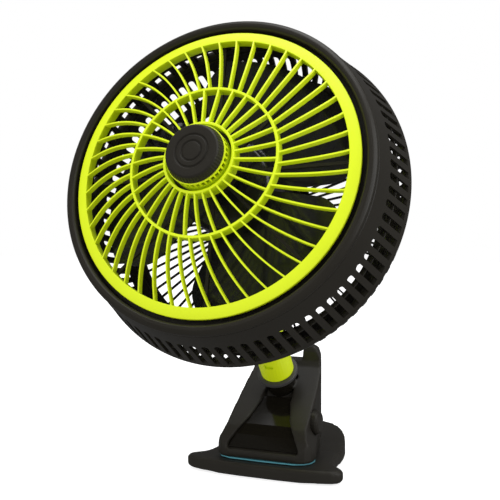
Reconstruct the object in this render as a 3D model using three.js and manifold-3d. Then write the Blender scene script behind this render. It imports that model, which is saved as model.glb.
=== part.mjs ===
// Clip fan: a wide clip stand, a swivelling and tilting neck, and a round head with a
// turning louvre grille in front of a three-blade impeller.
//
// Millimetres, +Z up, clip front towards -Y, origin under the middle of the clip's sole.
// The head's own frame has its origin at the centre of the louvre's front rim and +Z out
// of the face. The neck's own frame has its origin at the collar's face and +Z up the neck.

import * as THREE from 'three';
import { mergeGeometries, mergeVertices } from 'three/addons/utils/BufferGeometryUtils.js';
import Module from 'manifold-3d';

const wasm = await Module();
wasm.setup();

// ---------------------------------------------------------------- driving dimensions

const DEG = Math.PI / 180;
const FIT = 0.3;                 // gap between pieces that touch or fit
const RUN = 0.5;                 // gap round pieces that turn
const SINK = 0.6;                // how far joined forms reach into each other

// clip
const SOLE_LENGTH = 145;         // front to back of the lower jaw
const JAW_WIDTH = 151;           // across the lower jaw's front lobe
const REAR_WIDTH = 120;          // across the lower jaw's rear lobe
const JAW_THICKNESS = 12.5;
const EDGE = 2.5;                // chamfer of the lower jaw's edges
const SOLE_STEP = 1;             // how far the sole pad stands proud
const SOLE_INSET = 4.5;          // from the jaw's ends in to the sole pad
const BALLAST_TOP = 10.5;
const SOLE_EASE = 0.99;          // size of the pad against its pocket
const PAD_THICKNESS = 1.5;
const FLANGE_WIDTH = 94;         // across the upper jaw's foot
const RAMP_Y = -5;               // where the lower jaw starts to rise to the rear
const RAMP_RISE = 12;            // how far its rear end rises
const HINGE_Y = 0;
const HINGE_Z = 24;
const HINGE_PIN_RADIUS = 2.5;
const LUG_RADIUS = 7.5;
const LUG_THICKNESS = 8;
const LUG_SPREAD = 26;           // middle of each lug from the centre line
const CAVITY_WIDTH = 62;
const PANEL = 1.4;               // thickness of the glossy panel
const HORN_GAP = 28;             // between the two horns behind the neck
const SADDLE_Z = 95;             // bottom of the gap between the horns
const SPLIT_Y = 27;              // where the rear cover meets the body

// switch
const SWITCH_Y = -23.4;
const SWITCH_Z = 44.5;
const SWITCH_SEAT_X = 37.5;
const SWITCH_KNOB_RADIUS = 11.3;
const SWITCH_KNOB_HEIGHT = 8;
const SWITCH_SHAFT_RADIUS = 3;

// neck
const COLLAR_Y = -15.5;
const COLLAR_Z = 90;
const NECK_LEAN = 39;            // degrees forward of upright
const NECK_RADIUS = 16;
const NECK_WALL = 3;
const TAIL_RADIUS = 9.5;         // of the neck below its shoulder
const TAIL_BORE = 5;
const SOCKET_RADIUS = 13.2;
const NECK_REACH = 84;           // collar face to tilt axis
const NECK_TAIL = 31;            // neck below the collar face
const COLLAR_RADIUS = 20;
const COLLAR_HEIGHT = 4.5;
const SOCKET_DEPTH = 22;         // depth of the socket below the collar face
const FORK_RADIUS = 13;
const FORK_GAP = 18.4;
const TILT_BOLT_RADIUS = 3.5;

// head
const HEAD_RISE = 17.4;          // degrees that the face looks up
const PIVOT_DROP = 79.2;         // tilt axis below the head's axis
const PIVOT_BACK = 132;          // tilt axis behind the louvre's front rim
const LOUVRE_RADIUS = 118;
const LOUVRE_RIM = 8.8;          // width of the louvre's outer rim
const MID_RING_RADIUS = 60.9;
const MID_RING_Z = 16.8;
const HUB_RING_RADIUS = 28.9;
const HUB_RING_Z = 23.6;
const RING_WALL = 2.2;
const VANE_DEPTH = 8;
const VANE_THICKNESS = 1.4;
const OUTER_VANES = 45;
const INNER_VANES = 30;
const OUTER_SWEEP = 9.5;         // degrees an outer vane turns on its way out
const INNER_SWEEP = 4;
const OUTER_PHASE = 4;           // degrees from +X to the first outer vane
const KNOB_RADIUS = 21.5;
const KNOB_SKIRT = 23.2;
const KNOB_FRONT_Z = 36;
const KNOB_BACK_Z = 28.9;
const SPINDLE_RADIUS = 3;
const BEZEL_GAP = 3.6;           // dark gap round the turning louvre
const LIP_WALL = 2.2;            // the bezel lip's inner wall
const LIP_WIDTH = 11.8;          // louvre's edge to the lip's outer edge
const LIP_EDGE_Z = -5.2;
const RIM_WIDTH = 7;             // depth of the case's rims, inwards
const HOOP_Z = -38;              // hoop that ties the side ribs together inside
const LIP_BACK_Z = -8.5;
const CASE_RADIUS = 144;         // rim of the case
const CASE_RIM_Z = -60;
const SIDE_SLOTS = 81;
const CASE_FACETS = 45;          // flats that stand for the round of the case
const SLOT_FRONT_Z = -22.5;
const SLOT_REAR_Z = -54;
const SLOT_SHARE = 0.5;          // slot width as a share of the pitch
const WALL = 2;
const REAR_SLOTS = 45;
const BACK_RING_RADIUS = 124;
const BACK_RING_Z = -97;
const REAR_BARS = 36;
const MOTOR_RADIUS = 38;
const ROTOR_RADIUS = 20;
const STATOR_Z = [-99, -85];
const WINDING = [24, 32];        // inner and outer radius
const WINDING_HEIGHT = 4;
const MOTOR_FRONT_Z = -67.5;
const MOTOR_SEAM_Z = -88;
const MOUNT_FRONT_Z = -105;      // front face of the plate that carries the motor
const MOUNT_BACK_Z = -108;
const BEARING_WALL = 4.7;
const BEARING_HEIGHT = 8;
const MOTOR_CAP_RADIUS = 50;
const MOTOR_CAP_DEPTH = 16;
const IMPELLER_CAP_Z = -18;      // front of the nut on the motor's shaft
const BOLT_HEAD_RADIUS = 6.5;
const SPRING_RADIUS = 6.2;
const SPRING_WIRE = 1.1;
const SPRING_TURNS = 5;
const SPRING_PITCH = 3.6;
const COVER_SCREW_RADIUS = 1.6;
const COVER_SCREW_LENGTH = 15;
const COVER_SCREW_X = 21;
const COVER_SCREW_Y = 38.6;      // face of the cover under the screw's head
const COVER_SCREW_Z = 98;
const INLET_Z = 70;
const INLET_RADIUS = 5;          // hole for the inlet bush
const SWITCH_BODY = 8;           // half width of the switch's body
const IMPELLER_RADIUS = 111;
const IMPELLER_HUB = 40;
const BLADES = 3;
const BLADE_SPAN = 104;           // degrees
const BLADE_PHASE = 59;
const SHAFT_RADIUS = 4;
const SPIDER_ARMS = 8;
const SPIDER_Z = -9.5;

// ---------------------------------------------------------------- materials

const finish = (color, roughness, metalness = 0) =>
  new THREE.MeshStandardMaterial({ color, roughness, metalness });

const charcoal = () => finish(0x3b3733, 0.5);
const gloss = () => finish(0x14130f, 0.15);
const grey = () => finish(0x4a4744, 0.45);
const lime = () => finish(0xc6d800, 0.4);
const smoke = () => finish(0x2c2b28, 0.25);
const steel = () => finish(0x9a9a98, 0.35, 1);
const teal = () => finish(0x4f9aa3, 0.8);
const rubber = () => finish(0x1d1c1b, 0.9);
const copper = () => finish(0xb46a3c, 0.4, 1);
const brass = () => finish(0xb59a4c, 0.4, 1);

// ---------------------------------------------------------------- helpers

// A closed geometry as a solid that can be joined and cut.
function solid(geometry) {
  const bare = geometry.clone();
  bare.deleteAttribute('normal');
  bare.deleteAttribute('uv');
  bare.clearGroups();
  const merged = mergeVertices(bare, 1e-4);
  const vertProperties = new Float32Array(merged.attributes.position.array);
  const triVerts = new Uint32Array(merged.index.array);
  return new wasm.Manifold(new wasm.Mesh({ numProp: 3, vertProperties, triVerts }));
}

// A solid as a drawable geometry.
function shell(manifold) {
  const mesh = manifold.getMesh();
  const geometry = new THREE.BufferGeometry();
  geometry.setAttribute('position', new THREE.BufferAttribute(mesh.vertProperties, 3));
  geometry.setIndex(new THREE.BufferAttribute(mesh.triVerts, 1));
  geometry.computeVertexNormals();
  return geometry;
}

function join(...geometries) {
  return geometries.map(solid).reduce((sum, next) => sum.add(next));
}

function cut(body, ...tools) {
  return tools.map(solid).reduce((left, tool) => left.subtract(tool), body);
}

// Moves a geometry: turns about X, Y and Z in degrees, then the shift.
function put(geometry, { x = 0, y = 0, z = 0, rx = 0, ry = 0, rz = 0 }) {
  const turn = new THREE.Matrix4().makeRotationFromEuler(
    new THREE.Euler(rx * DEG, ry * DEG, rz * DEG, 'ZYX'));
  geometry.applyMatrix4(turn);
  geometry.translate(x, y, z);
  return geometry;
}

// A round form about +Z from [radius, z] points; a closed loop of points makes a ring.
function turned(points, segments = 36) {
  const profile = points.map(([r, z]) => new THREE.Vector2(r, z));
  const onAxis = points[0][0] === 0 && points[points.length - 1][0] === 0;
  if (!onAxis) profile.push(profile[0].clone());
  const geometry = new THREE.LatheGeometry(profile, segments);
  geometry.rotateX(Math.PI / 2);
  return outward(geometry);
}

// Flips a closed geometry whose faces point inwards.
function outward(geometry) {
  const flat = geometry.index ? geometry.toNonIndexed() : geometry;
  const p = flat.attributes.position;
  const a = new THREE.Vector3();
  const b = new THREE.Vector3();
  const c = new THREE.Vector3();
  let volume = 0;
  for (let i = 0; i < p.count; i += 3) {
    a.fromBufferAttribute(p, i);
    b.fromBufferAttribute(p, i + 1);
    c.fromBufferAttribute(p, i + 2);
    volume += a.dot(b.cross(c));
  }
  if (volume < 0) {
    for (let i = 0; i < p.count; i += 3) {
      b.fromBufferAttribute(p, i + 1);
      c.fromBufferAttribute(p, i + 2);
      p.setXYZ(i + 1, c.x, c.y, c.z);
      p.setXYZ(i + 2, b.x, b.y, b.z);
    }
  }
  return flat;
}

const ring = (inner, outer, low, high, segments = 32) =>
  turned([[inner, low], [outer, low], [outer, high], [inner, high]], segments);

const disc = (radius, low, high, segments = 24) =>
  turned([[0, low], [radius, low], [radius, high], [0, high]], segments);

const box = (x, y, z) =>
  new THREE.BoxGeometry(x[1] - x[0], y[1] - y[0], z[1] - z[0])
    .translate((x[0] + x[1]) / 2, (y[0] + y[1]) / 2, (z[0] + z[1]) / 2);

// A round bar along X.
const barX = (radius, x0, x1, y, z, segments = 16) =>
  put(disc(radius, x0, x1, segments), { ry: 90, y, z });

// A flat outline [across, up] as a plate along +Z; a chamfer eases both its edges.
function plate(points, low, high, chamfer = 0) {
  const shape = new THREE.Shape(points.map(([x, y]) => new THREE.Vector2(x, y)));
  const geometry = new THREE.ExtrudeGeometry(shape, {
    depth: high - low - 2 * chamfer,
    bevelEnabled: chamfer > 0,
    bevelThickness: chamfer,
    bevelSize: chamfer,
    bevelOffset: -chamfer,
    bevelSegments: 1,
  });
  return geometry.translate(0, 0, low + chamfer);
}

// A closed soft curve through a few corner points.
const softened = (points, divisions = 2) =>
  new THREE.SplineCurve([...points, points[0]].map(([x, y]) => new THREE.Vector2(x, y)))
    .getPoints(points.length * divisions).slice(0, -1).map((p) => [p.x, p.y]);

// Both halves of an outline that is the same left and right of the centre line.
const mirrored = (half) => [
  ...half,
  ...half.filter(([x]) => x > 0).reverse().map(([x, y]) => [-x, y]),
];

// A side outline [y, z] as a plate across X.
const sidePlate = (points, x0, x1) => put(plate(points, x0, x1), { rx: 90, rz: 90 });

// A front outline [x, z] as a plate along Y.
const frontPlate = (points, y0, y1) => put(plate(points, -y1, -y0), { rx: 90 });

// A box of unit size whose points are moved by a rule; u, v and t run from -0.5 to 0.5.
function bent(cells, rule) {
  const geometry = new THREE.BoxGeometry(1, 1, 1, ...cells);
  const p = geometry.attributes.position;
  for (let i = 0; i < p.count; i += 1) {
    const [x, y, z] = rule(p.getX(i), p.getY(i), p.getZ(i));
    p.setXYZ(i, x, y, z);
  }
  return outward(geometry);
}

const around = (count, make) =>
  mergeGeometries(Array.from({ length: count }, (_, i) => {
    const copy = make(i);
    return (copy.index ? copy.toNonIndexed() : copy).rotateZ(2 * Math.PI * i / count);
  }));

// A straight bar from one [radius, z] point to another, in the plane of the axis.
function spoke([r0, z0], [r1, z1], width, thickness) {
  const length = Math.hypot(r1 - r0, z1 - z0);
  const bar = new THREE.BoxGeometry(thickness, width, length);
  bar.rotateY(Math.atan2(r1 - r0, z1 - z0));
  return bar.translate((r0 + r1) / 2, 0, (z0 + z1) / 2);
}

// A small pan-head screw along +Z, head at the top.
const screw = (radius, length, segments = 8) => turned([
  [0, -length], [radius, -length], [radius, 0], [radius * 2, 0],
  [radius * 2, radius * 1.3], [0, radius * 1.3],
], segments);

function add(group, name, form, material) {
  const geometry = form instanceof THREE.BufferGeometry ? form : shell(form);
  const mesh = new THREE.Mesh(geometry, material);
  mesh.name = name;
  group.add(mesh);
  return mesh;
}

const addEach = (group, name, forms, material) =>
  forms.forEach((form, i) => add(group, `${name}_${i + 1}`, form, material()));

const lerp = (a, b, t) => a + (b - a) * t;

// ---------------------------------------------------------------- lower jaw

const SOLE_REAR = SOLE_LENGTH / 2;
const SOLE_FRONT = -SOLE_LENGTH / 2;

// Half of the lower jaw's outline, from the front middle round to the rear middle.
function jawHalf(inset = 0) {
  const lobe = JAW_WIDTH / 2 - inset;
  const rear = REAR_WIDTH / 2 - inset;
  return [
    [0, SOLE_FRONT + inset],
    [lobe - 33, SOLE_FRONT + 2 + inset],
    [lobe - 8, SOLE_FRONT + 7 + inset],
    [lobe, SOLE_FRONT + 15],
    [lobe - 2.5, SOLE_FRONT + 23 - inset / 2],
    [lobe - 11, SOLE_FRONT + 31 - inset],
    [rear + 1, SOLE_FRONT + 45],
    [rear, 0],
    [rear - 3, SOLE_REAR - 47],
    [rear - 12, SOLE_REAR - 24 - inset / 2],
    [rear - 27, SOLE_REAR - 9 - inset],
    [0, SOLE_REAR - inset],
  ];
}

// The sole pad's outline; the pad is a little smaller than its pocket.
const soleOutline = (scale = 1) => softened(mirrored([
  [0, SOLE_FRONT + SOLE_INSET], [40, SOLE_FRONT + SOLE_INSET + 1], [60, -58], [60, -45],
  [56, -20], [54, 10], [46, 35], [32, 54], [0, SOLE_REAR - SOLE_INSET],
])).map(([x, y]) => [x * scale, y * scale]);

// The lower jaw from the side: flat in front, rising to the rear, with eased ends.
const jawSide = [
  [SOLE_FRONT - 1, SOLE_STEP + EDGE], [SOLE_FRONT + EDGE, SOLE_STEP - 1],
  [SOLE_REAR - 18, SOLE_STEP - 1], [SOLE_REAR + 1, SOLE_STEP + 7],
  [SOLE_REAR + 1, JAW_THICKNESS + RAMP_RISE - EDGE],
  [SOLE_REAR - EDGE, JAW_THICKNESS + RAMP_RISE], [RAMP_Y + 25, JAW_THICKNESS + RAMP_RISE * 0.25],
  [RAMP_Y, JAW_THICKNESS], [SOLE_FRONT + EDGE, JAW_THICKNESS],
  [SOLE_FRONT - 1, JAW_THICKNESS - EDGE],
];

// Eases the upper and lower edges of the jaw's front lobe.
function jawEase() {
  const outline = softened(mirrored(jawHalf()));
  const front = solid(plate(outline, SOLE_STEP, JAW_THICKNESS, EDGE));
  const rear = solid(plate(outline, SOLE_STEP, JAW_THICKNESS + RAMP_RISE + 1, EDGE / 2));
  const behind = solid(box([-JAW_WIDTH, JAW_WIDTH], [RAMP_Y, SOLE_LENGTH], [-1, 60]));
  return front.add(rear.intersect(behind));
}

function lowerJaw() {
  const tall = JAW_THICKNESS + RAMP_RISE + 1;
  const body = solid(plate(softened(mirrored(jawHalf())), SOLE_STEP, tall))
    .intersect(solid(sidePlate(jawSide, -JAW_WIDTH, JAW_WIDTH)))
    .intersect(jawEase());
  const lugs = [-1, 1].map((side) => {
    const middle = side * LUG_SPREAD;
    return lugPlate(middle - LUG_THICKNESS / 2, middle + LUG_THICKNESS / 2);
  });
  const sole = plate(soleOutline(), 0, SOLE_STEP + PAD_THICKNESS + FIT);
  const ballast = plate(ballastOutline(FIT), SOLE_STEP, BALLAST_TOP + FIT);
  const pocket = plate(padOutline(FIT), JAW_THICKNESS - PAD_THICKNESS - FIT, JAW_THICKNESS + 1);
  const pin = barX(HINGE_PIN_RADIUS + FIT, -40, 40, HINGE_Y, HINGE_Z, 16);
  return cut(lugs.reduce((sum, lug) => sum.add(solid(lug)), body), sole, ballast, pocket, pin);
}

// One hinge lug of the lower jaw: a round eye on a tapered foot.
function lugPlate(x0, x1) {
  const arc = Array.from({ length: 9 }, (_, i) => {
    const angle = (i * 22.5) * DEG;
    return [HINGE_Y + LUG_RADIUS * Math.cos(angle), HINGE_Z + LUG_RADIUS * Math.sin(angle)];
  });
  const foot = JAW_THICKNESS - SINK;
  const outline = [
    [HINGE_Y - LUG_RADIUS - 1.5, foot], [HINGE_Y + LUG_RADIUS + 1.5, foot], ...arc,
  ];
  return sidePlate(outline, x0, x1);
}

// The steel weight that lies between the sole pad and the jaw's top skin.
const ballastOutline = (grow = 0) => mirrored([
  [0, -12 - grow], [51 + grow, -12 - grow], [52 + grow, 6], [46 + grow, 30],
  [34 + grow, 49], [20, 58 + grow], [0, 58 + grow],
]);

const padOutline = (grow = 0) => mirrored([
  [0, -60 - grow], [30, -58 - grow], [38 + grow, -53], [41 + grow, -46],
  [38 + grow, -20], [35, -16 + grow], [0, -16 + grow],
]);

const upperPadHalf = [
  [0, -62], [31, -61], [40, -57.5], [45, -51], [46, -43],
  [43.5, -32], [40.5, -20], [38, -15], [0, -15],
];

// ---------------------------------------------------------------- upper jaw

// Slope of the body's face: the neck stands square to it.
const NECK_TURN = { rx: NECK_LEAN, y: COLLAR_Y, z: COLLAR_Z };
const inNeckFrame = (geometry) => put(geometry, NECK_TURN);

const FLANGE_Z = JAW_THICKNESS + FIT + PAD_THICKNESS + FIT;

const sideOutline = [
  [-61, FLANGE_Z], [-62.5, 18], [-62.2, 21], [-59, 27], [-55.5, 34], [-49, 41.5], [-41, 47.5],
  [-30.4, 54.5], [-16.9, 64], [-3.3, 74], [8, 82], [16, 89], [20, 95], [22, 103],
  [25, 108.5], [30, 110.5], [34.5, 109], [38, 103], [39, 91], [37, 65],
  [29, 47], [21, 34], [17, 31], [9, 25], [2, FLANGE_Z + 2], [-12, FLANGE_Z],
];

const frontHalf = [
  [0, FLANGE_Z - 1], [46, FLANGE_Z - 1], [47, 18], [46.8, 22], [45, 28], [42, 34], [39.8, 41],
  [39.2, 48], [39, 56], [37.5, 73], [35, 88], [33, 96], [30, 102.5], [26, 107.5], [20.5, 110.5],
  [14, 111], [0, 111],
];

const planHalf = [
  [0, -63.5], [31, -62.5], [41, -59], [46, -52.5], [47, -44], [44.5, -32], [41.5, -20], [39.5, -4],
  [37, 8], [34, 20], [31, 30], [27, 36.5], [20, 40], [0, 40],
];

const cavityOutline = [
  [-46, FLANGE_Z + 3], [-46, 22], [-21.9, 40.5], [5.2, 59.5], [12, 66], [17.5, 75],
  [34, 75], [33.5, 64.5], [25, 48], [18, 38], [12, 34], [12, FLANGE_Z - 3],
  [-12, FLANGE_Z - 3], [-12, FLANGE_Z + 3],
];

// Floor of the recess down the face, seen from the side.
const recessFloor = [
  [-55, 22], [-49, 33], [-41.5, 41.5], [-30, 49.5], [-14, 60.5], [0, 70.5], [11, 80],
];

// Half of the recess from the front: narrow under the collar and wide at the foot.
const recessHalf = (inset = 0) => [
  [0, 22 + inset], [35 - inset, 22 + inset], [34 - inset, 27], [28 - inset, 37], [20 - inset, 48],
  [15 - inset, 60], [13.5 - inset, 72], [13.5 - inset, 90], [0, 90],
];

// The recess down the middle of the face, as the solid that is taken away.
function scoop() {
  const side = [...recessFloor, [-20, 98], [-80, 60], [-80, 22]];
  return solid(sidePlate(side, -60, 60))
    .intersect(solid(frontPlate(mirrored(recessHalf()), -90, 60)));
}

// The glossy panel that lies on the recess's floor.
function faceInsert() {
  const front = recessFloor.map(([y, z]) => [y - FIT, z + FIT]);
  const skin = recessFloor.map(([y, z]) => [y - FIT - PANEL, z + FIT + PANEL * 0.6]).reverse();
  const panel = solid(sidePlate([...front, ...skin], -60, 60))
    .intersect(solid(frontPlate(mirrored(recessHalf(FIT)), -90, 60)));
  const hole = inNeckFrame(disc(SOCKET_RADIUS + FIT, -60, 10, 32));
  const cutOff = box([-60, 60], [-60, 60], [63, 120]);
  return cut(panel, hole, cutOff);
}

function clipSolid() {
  const half = FLANGE_WIDTH / 2 + 2;
  let body = solid(sidePlate(sideOutline, -half, half))
    .intersect(solid(frontPlate(mirrored(frontHalf), -70, 50)))
    .intersect(solid(plate(mirrored(planHalf), 0, 120)));
  const cavity = solid(sidePlate(cavityOutline, -CAVITY_WIDTH / 2, CAVITY_WIDTH / 2))
    .intersect(solid(plate(mirrored(planHalf.map(([x, y]) => [Math.max(0, x - 4), y])), 0, 120)));
  const hornGap = box([-HORN_GAP / 2, HORN_GAP / 2], [-12, 50], [SADDLE_Z, 120]);
  body = cut(body.subtract(cavity), hornGap).subtract(scoop());
  const socket = inNeckFrame(disc(SOCKET_RADIUS, -SOCKET_DEPTH - 4, -COLLAR_HEIGHT - FIT));
  return body.add(solid(socket));
}

function clipCuts() {
  const bore = inNeckFrame(disc(TAIL_RADIUS + FIT, -SOCKET_DEPTH - 5, 1, 32));
  const nutRoom = inNeckFrame(disc(SOCKET_RADIUS + 1, -NECK_TAIL - 2, -SOCKET_DEPTH - 4, 32));
  const collarRoom = inNeckFrame(disc(COLLAR_RADIUS + FIT, -COLLAR_HEIGHT - FIT, NECK_REACH, 32));
  const seat = barX(SWITCH_KNOB_RADIUS + RUN, SWITCH_SEAT_X, 60, SWITCH_Y, SWITCH_Z, 32);
  const shaft = barX(SWITCH_SHAFT_RADIUS + FIT, 30, 40, SWITCH_Y, SWITCH_Z, 16);
  const switchRoom = box([21.6, CAVITY_WIDTH / 2 + FIT],
    [SWITCH_Y - SWITCH_BODY - FIT, SWITCH_Y + SWITCH_BODY + FIT], [24, SWITCH_Z + 5 + FIT]);
  const pin = barX(HINGE_PIN_RADIUS + FIT, -60, 60, HINGE_Y, HINGE_Z, 16);
  const inlet = put(disc(INLET_RADIUS, -14, 14, 16), { rx: 90, y: 40, z: INLET_Z });
  return [bore, nutRoom, collarRoom, seat, shaft, switchRoom, pin, inlet];
}

function coverScrews(grow) {
  return [-1, 1].map((side) =>
    put(screw(COVER_SCREW_RADIUS + grow, COVER_SCREW_LENGTH + grow),
      { rx: -90, x: side * COVER_SCREW_X, y: COVER_SCREW_Y - grow, z: COVER_SCREW_Z }));
}

function upperJaw() {
  const whole = cut(clipSolid(), ...clipCuts(), ...coverScrews(FIT));
  const front = solid(box([-80, 80], [-80, SPLIT_Y - FIT / 2], [0, 130]));
  const rear = solid(box([-80, 80], [SPLIT_Y + FIT / 2, 80], [0, 130]));
  return { body: whole.intersect(front), cover: whole.intersect(rear) };
}

// Torsion spring round the hinge pin: one unbroken wire with two straight legs.
function jawSpring() {
  const start = -SPRING_TURNS * SPRING_PITCH / 2;
  const points = [];
  points.push(new THREE.Vector3(start, -10.5, JAW_THICKNESS + SPRING_WIRE + FIT - HINGE_Z));
  for (let i = 0; i <= SPRING_TURNS * 8; i += 1) {
    const angle = -100 * DEG - (i / 8) * 2 * Math.PI;
    points.push(new THREE.Vector3(start + SPRING_PITCH * i / 8,
      SPRING_RADIUS * Math.cos(angle), SPRING_RADIUS * Math.sin(angle)));
  }
  points.push(new THREE.Vector3(-start, -14, 11));
  const path = new THREE.CatmullRomCurve3(points, false, 'centripetal');
  const section = new THREE.Shape(Array.from({ length: 5 }, (_, i) =>
    new THREE.Vector2(SPRING_WIRE * Math.cos(i * 72 * DEG), SPRING_WIRE * Math.sin(i * 72 * DEG))));
  return new THREE.ExtrudeGeometry(section, { steps: SPRING_TURNS * 10, extrudePath: path })
    .translate(0, HINGE_Y, HINGE_Z);
}

function hingePin() {
  const end = 37;
  return join(barX(HINGE_PIN_RADIUS, -end, end, HINGE_Y, HINGE_Z, 16));
}

// ---------------------------------------------------------------- switch

function switchKnob() {
  const low = FIT;
  const top = low + SWITCH_KNOB_HEIGHT;
  const r = SWITCH_KNOB_RADIUS;
  const stemEnd = CAVITY_WIDTH / 2 - SWITCH_SEAT_X + FIT;
  return turned([
    [0, stemEnd], [SWITCH_SHAFT_RADIUS, stemEnd], [SWITCH_SHAFT_RADIUS, low], [r, low],
    [r, top - 3], [r - 1, top - 1.2], [r - 3, top], [0, top],
  ], 24);
}

// ---------------------------------------------------------------- neck

function neck() {
  const low = -NECK_TAIL;
  const top = NECK_REACH - FORK_RADIUS - 8;
  const bore = NECK_RADIUS - NECK_WALL;
  const tube = turned([
    [TAIL_BORE, low], [TAIL_RADIUS, low], [TAIL_RADIUS, FIT], [NECK_RADIUS, FIT],
    [NECK_RADIUS, top], [bore, top], [bore, NECK_WALL], [TAIL_BORE, NECK_WALL],
  ], 32);
  const deck = ring(4, NECK_RADIUS - 1, top - 4, top, 32);
  const tines = [-1, 1].map((side) => {
    const inner = FORK_GAP / 2;
    const outer = NECK_RADIUS - 0.5;
    const x = side > 0 ? [inner, outer] : [-outer, -inner];
    return forkTine(x, top - 6);
  });
  const bolt = barX(TILT_BOLT_RADIUS + FIT, -30, 30, 0, NECK_REACH, 16);
  const pocket = box([-4, 4], [-30, -NECK_RADIUS + 2.5], [18, 23]);
  return cut(join(tube, deck, ...tines), bolt, pocket);
}

function forkTine([x0, x1], low) {
  const arc = Array.from({ length: 9 }, (_, i) => {
    const angle = i * 22.5 * DEG;
    return [FORK_RADIUS * Math.cos(angle), NECK_REACH + FORK_RADIUS * Math.sin(angle)];
  });
  return sidePlate([[-FORK_RADIUS, low], [FORK_RADIUS, low], ...arc], x0, x1);
}

// ---------------------------------------------------------------- louvre

const RIM_INNER = LOUVRE_RADIUS - LOUVRE_RIM;
const RIM_INNER_Z = 2.1;

// Front edge of the dome at a radius.
function domeZ(r) {
  if (r <= MID_RING_RADIUS) {
    const t = Math.max(0, (r - HUB_RING_RADIUS) / (MID_RING_RADIUS - HUB_RING_RADIUS));
    return lerp(HUB_RING_Z, MID_RING_Z, t ** 1.3);
  }
  const t = Math.min(1, (r - MID_RING_RADIUS) / (RIM_INNER - MID_RING_RADIUS));
  return lerp(MID_RING_Z, RIM_INNER_Z, t ** 1.6);
}

// One curved vane between two radii, on edge, its front on the dome.
function vane(r0, r1, sweep, start, steps) {
  return bent([1, 1, steps], (u, v, t) => {
    const s = t + 0.5;
    const r = lerp(r0, r1, s);
    const angle = (start + sweep * s) * DEG;
    const x = r * Math.cos(angle) - u * VANE_THICKNESS * Math.sin(angle);
    const y = r * Math.sin(angle) + u * VANE_THICKNESS * Math.cos(angle);
    return [x, y, domeZ(r) - 0.4 - (0.5 - v) * (VANE_DEPTH - 0.8)];
  });
}

function louvre() {
  const rim = turned([
    [RIM_INNER, RIM_INNER_Z], [LOUVRE_RADIUS, 0], [LOUVRE_RADIUS, -3],
    [RIM_INNER + RING_WALL, -1.5], [RIM_INNER + RING_WALL, -6.5], [RIM_INNER, -6.5],
  ], OUTER_VANES);
  const mid = ring(MID_RING_RADIUS - RING_WALL, MID_RING_RADIUS,
    MID_RING_Z - VANE_DEPTH - 1, MID_RING_Z, OUTER_VANES);
  const outer = around(OUTER_VANES, () =>
    vane(MID_RING_RADIUS - 1, RIM_INNER + 1, OUTER_SWEEP, OUTER_PHASE, 2));
  const inner = around(INNER_VANES, () =>
    vane(HUB_RING_RADIUS - 1, MID_RING_RADIUS - 1, INNER_SWEEP, -INNER_SWEEP, 1));
  return join(rim, mid, outer, inner).add(louvreHub());
}

// Hub ring, recessed floor and the collar that the knob sits on.
function louvreHub() {
  const floor = HUB_RING_Z - 9;
  const cup = turned([
    [SPINDLE_RADIUS + FIT, floor - 3], [HUB_RING_RADIUS, floor - 3], [HUB_RING_RADIUS, HUB_RING_Z],
    [HUB_RING_RADIUS - RING_WALL, HUB_RING_Z], [HUB_RING_RADIUS - RING_WALL, floor],
    [KNOB_SKIRT + 0.6, floor], [KNOB_SKIRT + 0.6, KNOB_BACK_Z - FIT],
    [KNOB_SKIRT - 1.4, KNOB_BACK_Z - FIT], [KNOB_SKIRT - 1.4, floor], [SPINDLE_RADIUS + FIT, floor],
  ], INNER_VANES);
  return solid(cup);
}

function centreKnob() {
  const face = KNOB_FRONT_Z;
  const groove = (r) => [[r + 1.1, face], [r, face - 0.9], [r - 1.1, face]];
  const knob = turned([
    [0, KNOB_BACK_Z], [KNOB_SKIRT, KNOB_BACK_Z],
    [KNOB_RADIUS, face - 1.2], [KNOB_RADIUS - 1.4, face], ...groove(12.9), ...groove(7.8),
    [0, face],
  ], 30);
  const bore = disc(SPINDLE_RADIUS + FIT, KNOB_BACK_Z - 1, face - 4, 12);
  return cut(solid(knob), bore);
}

// ---------------------------------------------------------------- case

const SCREW_CIRCLE = CASE_RADIUS - 4.4;

const sideRadius = (z) =>
  lerp(LOUVRE_RADIUS + LIP_WIDTH, CASE_RADIUS - 1.4, (z - LIP_EDGE_Z) / (SLOT_REAR_Z - LIP_EDGE_Z));

function frontCase() {
  const inner = LOUVRE_RADIUS + BEZEL_GAP;
  const outer = LOUVRE_RADIUS + LIP_WIDTH;
  const rimInner = CASE_RADIUS - RIM_WIDTH;
  const lip = turned([
    [inner, LIP_BACK_Z], [inner, -1], [inner + 1.8, 1.4], [inner + 4.6, 1.6],
    [outer - 0.8, -1], [outer, LIP_EDGE_Z],
    [sideRadius(SLOT_FRONT_Z), SLOT_FRONT_Z], [sideRadius(SLOT_FRONT_Z) - WALL, SLOT_FRONT_Z],
    [outer - WALL - 0.4, -4], [inner + LIP_WALL, -2.4], [inner + LIP_WALL, LIP_BACK_Z],
  ], CASE_FACETS);
  const rim = turned([
    [rimInner, CASE_RIM_Z], [CASE_RADIUS, CASE_RIM_Z],
    [sideRadius(SLOT_REAR_Z) + 0.3, SLOT_REAR_Z], [rimInner, SLOT_REAR_Z],
  ], CASE_FACETS);
  const hoopOuter = sideRadius(HOOP_Z) - WALL / 2 - 0.3;
  const hoop = ring(hoopOuter - 2.4, hoopOuter, HOOP_Z - 1.5, HOOP_Z + 1.5, CASE_FACETS);
  const pitch = 2 * Math.PI * sideRadius(HOOP_Z) / SIDE_SLOTS;
  const ribs = around(SIDE_SLOTS, () => spoke(
    [sideRadius(SLOT_FRONT_Z + SINK) - WALL / 2, SLOT_FRONT_Z + SINK],
    [sideRadius(SLOT_REAR_Z - SINK) - WALL / 2, SLOT_REAR_Z - SINK],
    pitch * (1 - SLOT_SHARE), WALL - 0.4));
  return cut(join(lip, ribs, rim, hoop), ...caseScrews(FIT, CASE_RIM_Z - 3));
}

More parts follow.
